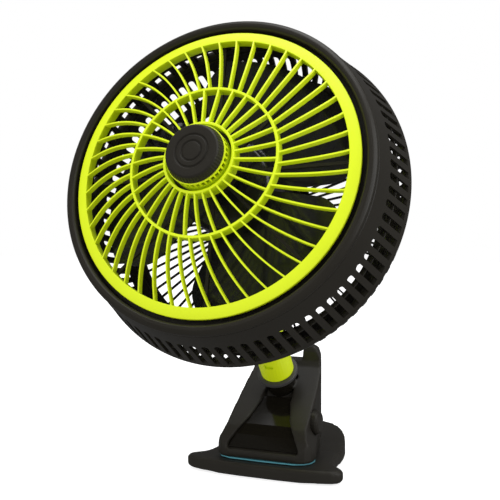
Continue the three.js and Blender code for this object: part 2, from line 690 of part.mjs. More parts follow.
function caseScrews(grow, headZ) {
  return Array.from({ length: 4 }, (_, i) =>
    put(put(screw(1.4 + grow, 8), { rx: 180, x: SCREW_CIRCLE, z: headZ }), { rz: 45 + 90 * i }));
}

function rearCase() {
  const top = CASE_RIM_Z - FIT;
  const flange = turned([
    [CASE_RADIUS - RIM_WIDTH, top - 3], [CASE_RADIUS - 2.5, top - 3],
    [CASE_RADIUS - 0.8, top], [CASE_RADIUS - RIM_WIDTH, top],
  ], CASE_FACETS);
  const back = turned([
    [BACK_RING_RADIUS - 7, BACK_RING_Z - 4], [BACK_RING_RADIUS - 2, BACK_RING_Z - 4],
    [BACK_RING_RADIUS + 1, BACK_RING_Z + 1], [BACK_RING_RADIUS - 7, BACK_RING_Z + 1],
  ], CASE_FACETS);
  const pitch = Math.PI * (CASE_RADIUS + BACK_RING_RADIUS) / REAR_SLOTS;
  const ribs = around(REAR_SLOTS, () => spoke(
    [SCREW_CIRCLE, top - 1], [BACK_RING_RADIUS - 2, BACK_RING_Z], pitch * 0.45, WALL));
  return cut(join(flange, back, ribs), ...caseScrews(FIT, top - 3));
}

function rearGrille() {
  const outer = BACK_RING_RADIUS - 7 - FIT;
  const rim = ring(outer - 4, outer, BACK_RING_Z - 4, BACK_RING_Z, REAR_BARS);
  const hub = ring(12, MOTOR_RADIUS + 5, MOUNT_BACK_Z, MOUNT_FRONT_Z, REAR_BARS);
  const bars = around(REAR_BARS, () => spoke(
    [outer - 2, BACK_RING_Z - 2], [MOTOR_RADIUS + 4, (MOUNT_BACK_Z + MOUNT_FRONT_Z) / 2], 2.4, 2.4));
  const pad = box([-22, 22], [-PIVOT_DROP - 12, -MOTOR_RADIUS],
    [MOUNT_BACK_Z, MOUNT_FRONT_Z + 1]);
  return join(rim, hub, bars, pad);
}

function spider() {
  const inner = LOUVRE_RADIUS + BEZEL_GAP;
  const back = SPIDER_Z - 2.5;
  const rim = ring(LOUVRE_RADIUS - 6, inner + LIP_WALL - FIT, back, LIP_BACK_Z - FIT, SPIDER_ARMS * 4);
  const arms = around(SPIDER_ARMS, () =>
    spoke([14, SPIDER_Z - 1.2], [inner + 1, SPIDER_Z - 1.2], 2.6, 2.4).rotateZ(3 * DEG));
  const hub = disc(17, back - 2, SPIDER_Z, 32);
  const bore = disc(SPINDLE_RADIUS + FIT, back - 5, 0, 16);
  return cut(join(rim, arms, hub), bore);
}

// ---------------------------------------------------------------- impeller and motor

function blade() {
  return bent([4, 6, 1], (u, v, t) => {
    const out = u + 0.5;
    const r = lerp(IMPELLER_HUB - 1, IMPELLER_RADIUS, out);
    const rounding = 1 - 0.28 * Math.max(0, out - 0.55) ** 2 / 0.2;
    const angle = v * BLADE_SPAN * rounding * DEG;
    const lift = lerp(26, 34, out) * v;
    const camber = 5 * (0.25 - v * v) * out;
    return [r * Math.cos(angle), r * Math.sin(angle), -46 + lift + camber + t * 1.9];
  });
}

function impeller() {
  const hub = turned([
    [SHAFT_RADIUS + FIT, -60], [8, -60], [8, -28.5], [IMPELLER_HUB - 6, -30],
    [IMPELLER_HUB - 2, -33], [IMPELLER_HUB - 2, -64], [IMPELLER_HUB, -64], [IMPELLER_HUB, -32],
    [IMPELLER_HUB - 5, -27.5], [22, -26], [SHAFT_RADIUS + FIT, -26],
  ], 24);
  const blades = around(BLADES, blade).rotateZ(BLADE_PHASE * DEG);
  return join(hub, blades);
}

// ---------------------------------------------------------------- assembly

const fan = new THREE.Group();
const neckGroup = new THREE.Group();
neckGroup.position.set(0, COLLAR_Y, COLLAR_Z);
neckGroup.rotation.x = NECK_LEAN * DEG;
const tiltGroup = new THREE.Group();
tiltGroup.position.set(0, 0, NECK_REACH);
tiltGroup.rotation.x = (90 - HEAD_RISE - NECK_LEAN) * DEG;
const head = new THREE.Group();
head.position.set(0, PIVOT_DROP, PIVOT_BACK);
fan.add(neckGroup);
neckGroup.add(tiltGroup);
tiltGroup.add(head);

function addClip() {
  const { body, cover } = upperJaw();
  add(fan, 'lower_jaw', lowerJaw(), charcoal());
  add(fan, 'sole_pad', plate(soleOutline(SOLE_EASE), 0, SOLE_STEP + PAD_THICKNESS), rubber());
  add(fan, 'ballast_plate',
    plate(ballastOutline(), SOLE_STEP + PAD_THICKNESS + FIT, BALLAST_TOP), steel());
  add(fan, 'lower_pad',
    plate(padOutline(), JAW_THICKNESS - PAD_THICKNESS, JAW_THICKNESS), rubber());
  add(fan, 'upper_pad', plate(mirrored(upperPadHalf), JAW_THICKNESS + FIT,
    JAW_THICKNESS + FIT + PAD_THICKNESS), teal());
  add(fan, 'clip_body', body, charcoal());
  add(fan, 'clip_rear_cover', cover, charcoal());
  add(fan, 'face_insert', faceInsert(), gloss());
  add(fan, 'hinge_pin', hingePin(), steel());
  add(fan, 'jaw_spring', jawSpring(), steel());
  addEach(fan, 'cover_screw', coverScrews(0), steel);
}

function addSwitch() {
  const place = { ry: 90, x: SWITCH_SEAT_X, y: SWITCH_Y, z: SWITCH_Z };
  add(fan, 'switch_knob', put(switchKnob(), place), grey());
  add(fan, 'switch_body', box([22, CAVITY_WIDTH / 2],
    [SWITCH_Y - SWITCH_BODY, SWITCH_Y + SWITCH_BODY], [SWITCH_Z - 5, SWITCH_Z + 5]), grey());
}

function addInlet() {
  const gland = turned([
    [2.6, -6], [INLET_RADIUS - FIT, -6], [INLET_RADIUS - FIT, 0.4], [7.5, 0.4], [6, 4], [4, 8],
    [2.6, 8],
  ], 20);
  add(fan, 'cord_gland', put(gland, { rx: -90, y: 38, z: INLET_Z }), rubber());
}

function addNeck() {
  add(neckGroup, 'swivel_collar',
    turned([
      [TAIL_RADIUS + FIT, -COLLAR_HEIGHT], [COLLAR_RADIUS - 1, -COLLAR_HEIGHT],
      [COLLAR_RADIUS, -COLLAR_HEIGHT + 1], [COLLAR_RADIUS, -1.2], [COLLAR_RADIUS - 1.2, 0],
      [TAIL_RADIUS + FIT, 0],
    ], 32), grey());
  add(neckGroup, 'neck', neck(), lime());
  add(neckGroup, 'neck_nut',
    ring(TAIL_RADIUS + FIT, SOCKET_RADIUS, -NECK_TAIL + 1, -SOCKET_DEPTH - 4 - FIT, 24), steel());
  const reach = NECK_RADIUS + 0.4;
  add(neckGroup, 'tilt_bolt', shell(join(
    barX(TILT_BOLT_RADIUS, -reach - 4, reach + 1, 0, NECK_REACH, 16),
    barX(BOLT_HEAD_RADIUS, reach, reach + 4, 0, NECK_REACH, 20),
  )), steel());
  add(neckGroup, 'tilt_nut', cut(solid(put(disc(BOLT_HEAD_RADIUS, 0, 3.6, 6),
    { ry: 90, x: -reach - 3.6, z: NECK_REACH })),
    barX(TILT_BOLT_RADIUS + FIT, -40, 0, 0, NECK_REACH, 16)), steel());
}

function addLouvre() {
  add(head, 'louvre_grille', louvre(), lime());
  add(head, 'centre_knob', centreKnob(), charcoal());
  add(head, 'louvre_bush', ring(SPINDLE_RADIUS + FIT, 6.5, SPIDER_Z + FIT, HUB_RING_Z - 12 - FIT, 20),
    brass());
  add(head, 'louvre_spindle',
    disc(SPINDLE_RADIUS, SPIDER_Z - 6, KNOB_FRONT_Z - 4 - FIT, 16), steel());
}

function addCase() {
  add(head, 'front_case', frontCase(), charcoal());
  add(head, 'rear_case', rearCase(), charcoal());
  add(head, 'rear_grille', rearGrille(), charcoal());
  add(head, 'louvre_spider', spider(), charcoal());
  addEach(head, 'case_screw', caseScrews(0, CASE_RIM_Z - FIT - 3), steel);
}

// Motor pieces, front to back; the shells meet at the seam.
function addMotor() {
  const shaftHole = SHAFT_RADIUS + FIT;
  const bearingHole = SHAFT_RADIUS + RUN;
  const bearingSeat = bearingHole + BEARING_WALL + FIT;
  const shellInner = MOTOR_RADIUS - WALL;
  const capBack = MOTOR_CAP_RADIUS - 3;
  const [statorBack, statorFront] = STATOR_Z;
  const nutBack = IMPELLER_CAP_Z - 7.7;
  add(head, 'impeller', impeller(), smoke());
  add(head, 'impeller_cap', turned([
    [shaftHole, nutBack + 5.7], [0, nutBack + 5.7], [0, IMPELLER_CAP_Z], [7, IMPELLER_CAP_Z - 1],
    [10, IMPELLER_CAP_Z - 4], [10, nutBack], [shaftHole, nutBack],
  ], 24), charcoal());
  add(head, 'motor_shaft',
    disc(SHAFT_RADIUS, MOUNT_BACK_Z - BEARING_HEIGHT, nutBack + 5.2, 16), steel());
  add(head, 'rotor', ring(shaftHole, ROTOR_RADIUS, statorBack + 1, statorFront - 1, 24), steel());
  add(head, 'stator',
    ring(ROTOR_RADIUS + RUN, shellInner - FIT, statorBack, statorFront, 28), steel());
  add(head, 'front_winding',
    ring(...WINDING, statorFront + FIT, statorFront + WINDING_HEIGHT, 24), copper());
  add(head, 'rear_winding',
    ring(...WINDING, statorBack - WINDING_HEIGHT, statorBack - FIT, 24), copper());
  add(head, 'motor_front_shell', turned([
    [bearingSeat, MOTOR_FRONT_Z - 2.5], [bearingSeat, MOTOR_FRONT_Z],
    [MOTOR_RADIUS - 4, MOTOR_FRONT_Z], [MOTOR_RADIUS, MOTOR_FRONT_Z - 4],
    [MOTOR_RADIUS, MOTOR_SEAM_Z], [shellInner, MOTOR_SEAM_Z],
    [shellInner, MOTOR_FRONT_Z - 4.5], [MOTOR_RADIUS - 5, MOTOR_FRONT_Z - 2.5],
  ], 28), charcoal());
  add(head, 'motor_rear_shell', turned([
    [shellInner, MOTOR_SEAM_Z - FIT], [MOTOR_RADIUS, MOTOR_SEAM_Z - FIT],
    [MOTOR_RADIUS, MOUNT_FRONT_Z + FIT], [bearingSeat, MOUNT_FRONT_Z + FIT],
    [bearingSeat, MOUNT_FRONT_Z + 1.8], [shellInner, MOUNT_FRONT_Z + 1.8],
  ], 28), charcoal());
  const bearing = (low) =>
    ring(bearingHole, bearingHole + BEARING_WALL, low, low + BEARING_HEIGHT, 20);
  add(head, 'front_bearing', bearing(MOTOR_FRONT_Z - 6.5), brass());
  add(head, 'rear_bearing', bearing(MOUNT_BACK_Z - 1), brass());
  const capEdge = MOUNT_BACK_Z - FIT;
  add(head, 'motor_cap', turned([
    [0, MOUNT_BACK_Z - MOTOR_CAP_DEPTH], [MOTOR_CAP_RADIUS - 20, capEdge - 13.7],
    [MOTOR_CAP_RADIUS - 6, capEdge - 7.7], [MOTOR_CAP_RADIUS, capEdge], [capBack, capEdge],
    [capBack - 5, capEdge - 5.7], [capBack - 18, capEdge - 11.2],
    [0, MOUNT_BACK_Z - MOTOR_CAP_DEPTH + 2.5],
  ], 28), charcoal());
}

function addBracket() {
  const plateBack = MOUNT_BACK_Z - FIT;
  const base = box([-21, 21], [-PIVOT_DROP - 12, -52], [plateBack - 5, plateBack]);
  const half = FORK_GAP / 2 - FIT;
  const lug = sidePlate([
    [-PIVOT_DROP - 11, plateBack - 4], [-PIVOT_DROP - 11, -PIVOT_BACK - 2],
    [-PIVOT_DROP - 6, -PIVOT_BACK - 9], [-PIVOT_DROP + 3, -PIVOT_BACK - 11],
    [-PIVOT_DROP + 10, -PIVOT_BACK - 6], [-PIVOT_DROP + 24, plateBack - 4],
  ], -half, half);
  const bolt = barX(TILT_BOLT_RADIUS + FIT, -30, 30, -PIVOT_DROP, -PIVOT_BACK, 16);
  add(head, 'tilt_bracket', cut(join(base, lug), bolt), charcoal());
}

addClip();
addSwitch();
addInlet();
addNeck();
addLouvre();
addCase();
addMotor();
addBracket();

export default fan;
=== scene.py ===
import math

import bmesh
import bpy
from mathutils import Matrix, Vector


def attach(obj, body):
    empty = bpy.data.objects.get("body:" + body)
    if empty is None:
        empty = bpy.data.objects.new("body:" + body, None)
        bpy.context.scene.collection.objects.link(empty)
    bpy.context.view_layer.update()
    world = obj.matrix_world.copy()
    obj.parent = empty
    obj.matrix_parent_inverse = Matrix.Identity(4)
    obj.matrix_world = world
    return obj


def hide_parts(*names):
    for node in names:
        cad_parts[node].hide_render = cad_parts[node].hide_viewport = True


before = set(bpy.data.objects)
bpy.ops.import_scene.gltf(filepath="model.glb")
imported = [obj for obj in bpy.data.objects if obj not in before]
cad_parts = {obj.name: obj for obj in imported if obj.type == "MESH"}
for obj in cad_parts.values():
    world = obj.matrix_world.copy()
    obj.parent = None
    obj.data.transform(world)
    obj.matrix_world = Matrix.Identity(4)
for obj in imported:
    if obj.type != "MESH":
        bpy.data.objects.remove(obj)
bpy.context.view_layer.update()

bl_info = {
    "name": "Clip fan looks",
    "version": (1, 0, 0),
    "blender": (4, 5, 0),
    "location": "View3D > Sidebar > Clip fan",
    "description": "Smooth forms, finishes, lamps and camera for the clip fan",
    "category": "Object",
}

MM = 0.001
NECK_LEAN = 39.0  # degrees forward of upright
HEAD_RISE = 17.4  # degrees that the face looks up
COLLAR_AT = Vector((0.0, -15.5, 90.0))
TILT_UP_NECK = 84.0
HEAD_FROM_TILT = Vector((0.0, 79.2, 132.0))


def head_place():
    """From the head's own frame, face along +Z, to the fan's frame, in millimetres."""
    neck = neck_place()
    tilt = Matrix.Translation((0, 0, TILT_UP_NECK)) @ Matrix.Rotation(
        math.radians(90 - HEAD_RISE - NECK_LEAN), 4, "X"
    )
    return neck @ tilt @ Matrix.Translation(HEAD_FROM_TILT)


def neck_place():
    """From the neck's own frame, neck along +Z, to the fan's frame, in millimetres."""
    return Matrix.Translation(COLLAR_AT) @ Matrix.Rotation(
        math.radians(NECK_LEAN), 4, "X"
    )


# ---------------------------------------------------------------- settings


class LouvreSettings(bpy.types.PropertyGroup):
    """The lime grille at the front, in millimetres."""

    radius: bpy.props.FloatProperty(
        name="Radius", description="Outside of the rim", default=118.0
    )
    rim: bpy.props.FloatProperty(
        name="Rim", description="Width of the rim's face", default=8.8
    )
    outer_vanes: bpy.props.IntProperty(
        name="Outer vanes", description="Vanes outside the middle ring", default=45
    )
    inner_vanes: bpy.props.IntProperty(
        name="Inner vanes", description="Vanes inside the middle ring", default=30
    )
    vane_depth: bpy.props.FloatProperty(
        name="Vane depth", description="Front edge to back edge", default=5.5
    )
    vane_thickness: bpy.props.FloatProperty(
        name="Vane thickness", description="Across a vane", default=1.4
    )
    ribs: bpy.props.IntProperty(
        name="Knob ribs", description="Fine ribs round the centre knob", default=56
    )


class CaseSettings(bpy.types.PropertyGroup):
    """The dark case round the head, in millimetres."""

    slots: bpy.props.IntProperty(
        name="Slots", description="Slots round the side wall", default=81
    )
    slot_width: bpy.props.FloatProperty(
        name="Slot width", description="Across one slot", default=5.5
    )
    rim_radius: bpy.props.FloatProperty(
        name="Rim radius", description="Outside of the rear rim", default=144.0
    )
    rear_bars: bpy.props.IntProperty(
        name="Rear bars", description="Bars of the rear grille", default=72
    )


class FinishSettings(bpy.types.PropertyGroup):
    """Colours of the finishes."""

    dark: bpy.props.FloatVectorProperty(
        name="Dark plastic",
        description="Case, clip and knob",
        subtype="COLOR",
        size=3,
        default=(0.0195, 0.0172, 0.0128),
    )
    lime: bpy.props.FloatVectorProperty(
        name="Lime plastic",
        description="Grille and neck",
        subtype="COLOR",
        size=3,
        default=(0.68, 0.82, 0.004),
    )


# ---------------------------------------------------------------- shading

GRAIN_DEPTH = 0.0001
COAT_ROUGHNESS = 0.08
SHINE_SPREAD = 0.1
LINE_SPREAD = 0.2
PATCH_SCALE = 22.0
LINE_SCALE = 160.0
INK = (0.012, 0.012, 0.012)


class Value:
    """A value inside a shader that takes part in sums."""

    def __init__(self, shader, socket):
        self.shader = shader
        self.socket = socket

    def combined(self, operation, other):
        return self.shader.value(
            "ShaderNodeMath", {"operation": operation}, [self, other]
        )

    def __add__(self, other):
        return self.combined("ADD", other)

    __radd__ = __add__

    def __mul__(self, other):
        return self.combined("MULTIPLY", other)

    __rmul__ = __mul__


class Shader:
    """A material's node tree, built with a few short calls."""

    def __init__(self, name):
        self.material = bpy.data.materials.new(name)
        self.material.use_nodes = True
        self.tree = self.material.node_tree
        self.surface = self.tree.nodes["Principled BSDF"]

    def feed(self, socket, item):
        if isinstance(item, Value):
            self.tree.links.new(item.socket, socket)
        else:
            socket.default_value = item

    def node(self, kind, settings=None, inputs=None):
        made = self.tree.nodes.new(kind)
        for key, setting in (settings or {}).items():
            setattr(made, key, setting)
        named = inputs.items() if isinstance(inputs, dict) else enumerate(inputs or [])
        for key, item in named:
            self.feed(made.inputs[key], item)
        return made

    def value(self, kind, settings=None, inputs=None, output=0):
        made = self.node(kind, settings, inputs)
        return Value(self, made.outputs[output])

    def place(self, scale=(1, 1, 1)):
        spot = self.value("ShaderNodeTexCoord", output="Object")
        return self.value("ShaderNodeMapping", None, {"Vector": spot, "Scale": scale})

    def noise(self, scale, detail=2.0, stretch=(1, 1, 1)):
        return self.value(
            "ShaderNodeTexNoise",
            None,
            {"Vector": self.place(stretch), "Scale": scale, "Detail": detail},
            "Fac",
        )

    def blend(self, amount, first, second):
        mix = self.node("ShaderNodeMix", {"data_type": "RGBA"})
        self.feed(mix.inputs[0], amount)
        self.feed(mix.inputs[6], first)
        self.feed(mix.inputs[7], second)
        return Value(self, mix.outputs[2])

    def bump(self, height, strength, distance):
        return self.value(
            "ShaderNodeBump",
            None,
            {"Height": height, "Strength": strength, "Distance": distance},
        )

    def set(self, **sockets):
        for key, item in sockets.items():
            self.feed(self.surface.inputs[key.replace("_", " ")], item)
        return self.material


def shade(colour, amount):
    """The colour with its brightness times an amount, as four parts."""
    return tuple(min(1.0, part * amount) for part in colour) + (1.0,)


def moulded(
    name, colour, rough, grain=0.15, grain_size=1500.0, coat=0.0, spread=0.12, specular=0.5
):
    """Moulded plastic with faint patches of tone and shine, and a fine grain."""
    shader = Shader(name)
    patches = shader.noise(PATCH_SCALE, 3.0)
    fine = shader.noise(grain_size, 1.0)
    tone = shader.blend(patches, shade(colour, 1 - spread), shade(colour, 1 + spread))
    shine = rough - SHINE_SPREAD / 2 + SHINE_SPREAD * patches
    return shader.set(
        Base_Color=tone,
        Roughness=shine,
        Coat_Weight=coat,
        Coat_Roughness=COAT_ROUGHNESS,
        Specular_IOR_Level=specular,
        Normal=shader.bump(fine, grain, GRAIN_DEPTH),
    )


def metal(name, colour, rough, stretch=(1, 1, 40)):
    """Bare metal with drawn or turned lines."""
    shader = Shader(name)
    lines = shader.noise(LINE_SCALE, 3.0, stretch)
    tone = shader.blend(lines, shade(colour, 0.8), shade(colour, 1.15))
    return shader.set(
        Base_Color=tone,
        Roughness=rough - 0.08 + LINE_SPREAD * lines,
        Metallic=1.0,
        Normal=shader.bump(lines, 0.1, GRAIN_DEPTH),
    )


def finishes():
    """Every finish by name, made once."""
    settings = bpy.context.scene.fan_finish
    dark = tuple(settings.dark)
    lime = tuple(settings.lime)
    return {
        "dark": moulded("dark plastic", dark, 0.42, specular=0.3),
        "wall": moulded("dark wall plastic", dark, 0.36, grain=0.1, specular=0.3),
        "ridge": moulded("satin clip plastic", dark, 0.45, grain=0.3, specular=0.35),
        "gloss": moulded(
            "gloss black plastic", (0.007, 0.006, 0.004), 0.12, 0.02, specular=0.3
        ),
        "lime": moulded("lime plastic", lime, 0.38, grain=0.08, spread=0.04),
        "smoke": moulded("smoke plastic", (0.012, 0.012, 0.011), 0.16, 0.03, coat=0.4),
        "grey": moulded("grey plastic", (0.045, 0.043, 0.041), 0.4),
        "rubber": moulded("black rubber", INK, 0.75, 0.4, 900.0),
        "blue": moulded("blue rubber", (0.09, 0.32, 0.38), 0.6, 0.3, 900.0),
        "steel": metal("steel", (0.55, 0.55, 0.56), 0.3),
        "copper": metal("copper wire", (0.62, 0.26, 0.12), 0.35),
        "brass": metal("brass", (0.65, 0.5, 0.2), 0.3),
    }


MADE = {}


def finish(name):
    """One finish by its name."""
    if not MADE:
        MADE.update(finishes())
    return MADE[name]


# ---------------------------------------------------------------- forms

EDGE_ANGLE = 32
SKIN_CELL = 1.0
SKIN_PASSES = 8


def eased(points, ease, steps=3, closed=True):
    """An outline with each corner rounded off over a short length."""
    outline = []
    count = len(points)
    for i, point in enumerate(points):
        corner = Vector(point)
        if not closed and i in (0, count - 1):
            outline.append(tuple(corner))
            continue
        before = Vector(points[i - 1]) - corner
        after = Vector(points[(i + 1) % count]) - corner
        reach = min(ease, before.length * 0.45, after.length * 0.45)
        low = corner + before.normalized() * reach
        high = corner + after.normalized() * reach
        for step in range(steps + 1):
            t = step / steps
            outline.append(
                tuple(low * (1 - t) ** 2 + corner * 2 * t * (1 - t) + high * t * t)
            )
    return outline


def turned(outline, steps=144, closed=True):
    """Turns an outline of (radius, height) about Z; an open one starts and ends on Z."""
    bm = bmesh.new()
    verts = [bm.verts.new((radius, 0, height)) for radius, height in outline]
    following = verts[1:] + verts[:1] if closed else verts[1:]
    edges = [bm.edges.new(pair) for pair in zip(verts, following)]
    bmesh.ops.spin(
        bm,
        geom=verts + edges,
        cent=(0, 0, 0),
        axis=(0, 0, 1),
        angle=2 * math.pi,
        steps=steps,
        use_merge=True,
        use_duplicate=False,
    )
    bmesh.ops.remove_doubles(bm, verts=bm.verts, dist=0.001)
    bmesh.ops.recalc_face_normals(bm, faces=bm.faces)
    return bm


def repeat_round(bm, count):
    """Copies everything round Z."""
    bmesh.ops.spin(
        bm,
        geom=bm.verts[:] + bm.edges[:] + bm.faces[:],
        cent=(0, 0, 0),
        axis=(0, 0, 1),
        angle=2 * math.pi * (count - 1) / count,
        steps=count - 1,
        use_merge=False,
        use_duplicate=True,
    )


def prism(outline, low, high):
    """A flat outline pulled up into a plate."""
    bm = bmesh.new()
    base = bm.faces.new([bm.verts.new((x, y, low)) for x, y in outline])
    pulled = bmesh.ops.extrude_face_region(bm, geom=[base])
    verts = [item for item in pulled["geom"] if isinstance(item, bmesh.types.BMVert)]
    bmesh.ops.translate(bm, verts=verts, vec=(0, 0, high - low))
    bmesh.ops.recalc_face_normals(bm, faces=bm.faces)
    return bm


def loose_object(bm, name):
    """An object made of a form, which is used up."""
    mesh = bpy.data.meshes.new(name)
    bm.to_mesh(mesh)
    bm.free()
    item = bpy.data.objects.new(name, mesh)
    bpy.context.scene.collection.objects.link(item)
    return item


def discard(item):
    mesh = item.data
    bpy.data.objects.remove(item)
    bpy.data.meshes.remove(mesh)


def cut_out(body, tool):
    """Cuts one closed form out of another."""
    first = loose_object(body, "first form")
    second = loose_object(tool, "second form")
    change = first.modifiers.new("change", "BOOLEAN")
    change.object = second
    change.operation = "DIFFERENCE"
    change.solver = "EXACT"
    result = bmesh.new()
    result.from_object(first, bpy.context.evaluated_depsgraph_get())
    discard(first)
    discard(second)
    return result


def merged(*forms):
    """Several forms as one, each left as it is."""
    mesh = bpy.data.meshes.new("merged forms")
    whole = bmesh.new()
    for form in forms:
        form.to_mesh(mesh)
        form.free()
        whole.from_mesh(mesh)
    bpy.data.meshes.remove(mesh)
    return whole


def mark_edges(bm, sharp):
    """Smooth faces, with the edges over an angle kept crisp."""
    for face in bm.faces:
        face.smooth = True
    for edge in bm.edges:
        if len(edge.link_faces) == 2 and edge.calc_face_angle() > math.radians(sharp):
            edge.smooth = False


def bevelled(item, width, segments=2):
    """Small round edges, with the width in millimetres."""
    rounding = item.modifiers.new("eased edges", "BEVEL")
    rounding.width = width * MM
    rounding.segments = segments
    rounding.limit_method = "ANGLE"
    rounding.angle_limit = math.radians(EDGE_ANGLE)
    rounding.harden_normals = True


def piece(name, bm, look, body, nodes=(), place=None, sharp=EDGE_ANGLE):
    """A finished form in the fan's frame, in metres, on its body."""
    scale = Matrix.Scale(MM, 4)
    bmesh.ops.transform(bm, matrix=scale @ (place or Matrix()), verts=bm.verts)
    mark_edges(bm, sharp)
    item = loose_object(bm, name)
    item.data.materials.append(finish(look))
    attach(item, body)
    if nodes:
        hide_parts(*nodes)
    return item


def softened(item):
    """Rounds a moulded shell's edges and facets all over."""
    grid = item.modifiers.new("even skin", "REMESH")
    grid.mode = "VOXEL"
    grid.voxel_size = SKIN_CELL * MM
    grid.use_smooth_shade = True
    ease = item.modifiers.new("soft edges", "SMOOTH")
    ease.factor = 0.5
    ease.iterations = SKIN_PASSES


def dress(node, look, width=0.0, segments=2):
    """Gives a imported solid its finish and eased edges."""
    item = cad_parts[node]
    item.data.materials.clear()
    item.data.materials.append(finish(look))
    if width > 0:
        bevelled(item, width, segments)
    return item


# ---------------------------------------------------------------- louvre

MID_RADIUS = 60.9
MID_HEIGHT = 16.8
HUB_RADIUS = 28.9
HUB_HEIGHT = 23.6
OUTER_SWEEP = 9.5
INNER_SWEEP = 4.0
OUTER_PHASE = 4.0
RING_WALL = 2.2
RING_DEPTH = 9
RIM_FACE = 2.1
RIM_BACK = -6.5
VANE_OVERLAP = 1
VANE_SETBACK = 0.3
HUB_BORE = 3.3
HUB_FLOOR = 3
HUB_WINDOWS = 36
HUB_WINDOW = (5, 2.7, 5.0)
KNOB_BACK = 28.9
KNOB_FRONT = 36.0
KNOB_RADIUS = 21.5
KNOB_SKIRT = 23.2
KNOB_RINGS = (12.9, 7.8)
KNOB_EDGE = 1.4
KNOB_RIB_DEPTH = 0.35
GROOVE_DEPTH = 0.9


def dome_height(radius, rim_radius):
    """Height of the grille's front edge at a radius."""
    if radius <= MID_RADIUS:
        t = max(0.0, (radius - HUB_RADIUS) / (MID_RADIUS - HUB_RADIUS))
        return HUB_HEIGHT + (MID_HEIGHT - HUB_HEIGHT) * t**1.3
    t = min(1.0, (radius - MID_RADIUS) / (rim_radius - MID_RADIUS))
    return MID_HEIGHT + (RIM_FACE - MID_HEIGHT) * t**1.6


def vane(inner, outer, sweep, start, settings):
    """One curved vane on edge, with a rounded front."""
    rim = settings.radius - settings.rim
    half = settings.vane_thickness / 2
    bm = bmesh.new()
    bmesh.ops.create_grid(bm, x_segments=10, y_segments=1, size=0.5)
    pulled = bmesh.ops.extrude_face_region(bm, geom=bm.faces[:])
    raised = [item for item in pulled["geom"] if isinstance(item, bmesh.types.BMVert)]
    bmesh.ops.translate(bm, verts=raised, vec=(0, 0, 1))
    for vert in bm.verts:
        along = vert.co.x + 0.5
        radius = inner + (outer - inner) * along
        angle = math.radians(start + sweep * along)
        side = half * (1 if vert.co.y > 0 else -1)
        back = settings.vane_depth if vert.co.z > 0.5 else VANE_SETBACK
        vert.co = (
            radius * math.cos(angle) - side * math.sin(angle),
            radius * math.sin(angle) + side * math.cos(angle),
            dome_height(radius, rim) - back,
        )
    bmesh.ops.recalc_face_normals(bm, faces=bm.faces)
    return bm


def louvre_forms(settings):
    """The grille's rim, its middle ring and its two rounds of vanes."""
    outside = settings.radius
    opening = outside - settings.rim
    flange = [(opening, RIM_FACE), (outside, 0.0), (outside, -3.0)]
    flange += [(opening + RING_WALL, -1.5), (opening + RING_WALL, RIM_BACK)]
    flange += [(opening, RIM_BACK)]
    rim = turned(eased(flange, 0.8), 180)
    mid_inner = MID_RADIUS - RING_WALL
    mid_back = MID_HEIGHT - RING_DEPTH
    band = [(mid_inner, MID_HEIGHT), (MID_RADIUS, MID_HEIGHT)]
    band += [(MID_RADIUS, mid_back), (mid_inner, mid_back)]
    mid = turned(eased(band, 0.5))
    mid_start = MID_RADIUS - VANE_OVERLAP
    outer = vane(
        mid_start, opening + VANE_OVERLAP, OUTER_SWEEP, OUTER_PHASE, settings
    )
    repeat_round(outer, settings.outer_vanes)
    inner = vane(
        HUB_RADIUS - VANE_OVERLAP, mid_start, INNER_SWEEP, -INNER_SWEEP, settings
    )
    repeat_round(inner, settings.inner_vanes)
    return merged(rim, mid, outer, inner)


def block(size, middle):
    """A box by its size and its middle."""
    bm = bmesh.new()
    bmesh.ops.create_cube(bm, size=1)
    bmesh.ops.scale(bm, vec=size, verts=bm.verts)
    bmesh.ops.translate(bm, vec=middle, verts=bm.verts)
    return bm


def hub_form():
    """The grille's hub: a ring, a floor and a windowed collar under the knob."""
    floor = HUB_HEIGHT - RING_DEPTH
    under = floor - HUB_FLOOR
    ring_inner = HUB_RADIUS - RING_WALL
    collar_outer = KNOB_SKIRT + 0.6
    collar_inner = KNOB_SKIRT - 1.4
    collar_top = KNOB_BACK - 0.3
    outline = [(HUB_BORE, under), (HUB_RADIUS, under), (HUB_RADIUS, HUB_HEIGHT)]
    outline += [(ring_inner, HUB_HEIGHT), (ring_inner, floor), (collar_outer, floor)]
    outline += [(collar_outer, collar_top), (collar_inner, collar_top)]
    outline += [(collar_inner, floor), (HUB_BORE, floor)]
    cup = turned(eased(outline, 0.4, 2))
    windows = block(HUB_WINDOW, (KNOB_SKIRT, 0, KNOB_BACK - 4.4))
    repeat_round(windows, HUB_WINDOWS)
    return cut_out(cup, windows)


def knob_form(ribs):
    """The centre knob, with fine ribs round its skirt and two rings in its face."""
    outline = [(0.0, KNOB_BACK), (KNOB_SKIRT, KNOB_BACK), (KNOB_SKIRT, KNOB_BACK + 0.6)]
    outline += [(KNOB_RADIUS, KNOB_FRONT - KNOB_EDGE)]
    outline += [(KNOB_RADIUS - KNOB_EDGE, KNOB_FRONT)]
    for groove in KNOB_RINGS:
        bottom = KNOB_FRONT - GROOVE_DEPTH
        outline += [(groove + 0.9, KNOB_FRONT), (groove + 0.5, bottom)]
        outline += [(groove - 0.5, bottom), (groove - 0.9, KNOB_FRONT)]
    outline += [(0.0, KNOB_FRONT)]
    bm = turned(eased(outline, 0.5, 3, closed=False), ribs * 6, closed=False)
    for vert in bm.verts:
        radius = math.hypot(vert.co.x, vert.co.y)
        if radius > KNOB_RADIUS - 0.3 and vert.co.z > KNOB_BACK + 0.1:
            angle = math.atan2(vert.co.y, vert.co.x)
            depth = KNOB_RIB_DEPTH * (0.5 - 0.5 * math.cos(ribs * angle))
            factor = (radius - depth) / radius
            vert.co.x *= factor
            vert.co.y *= factor
    return bm


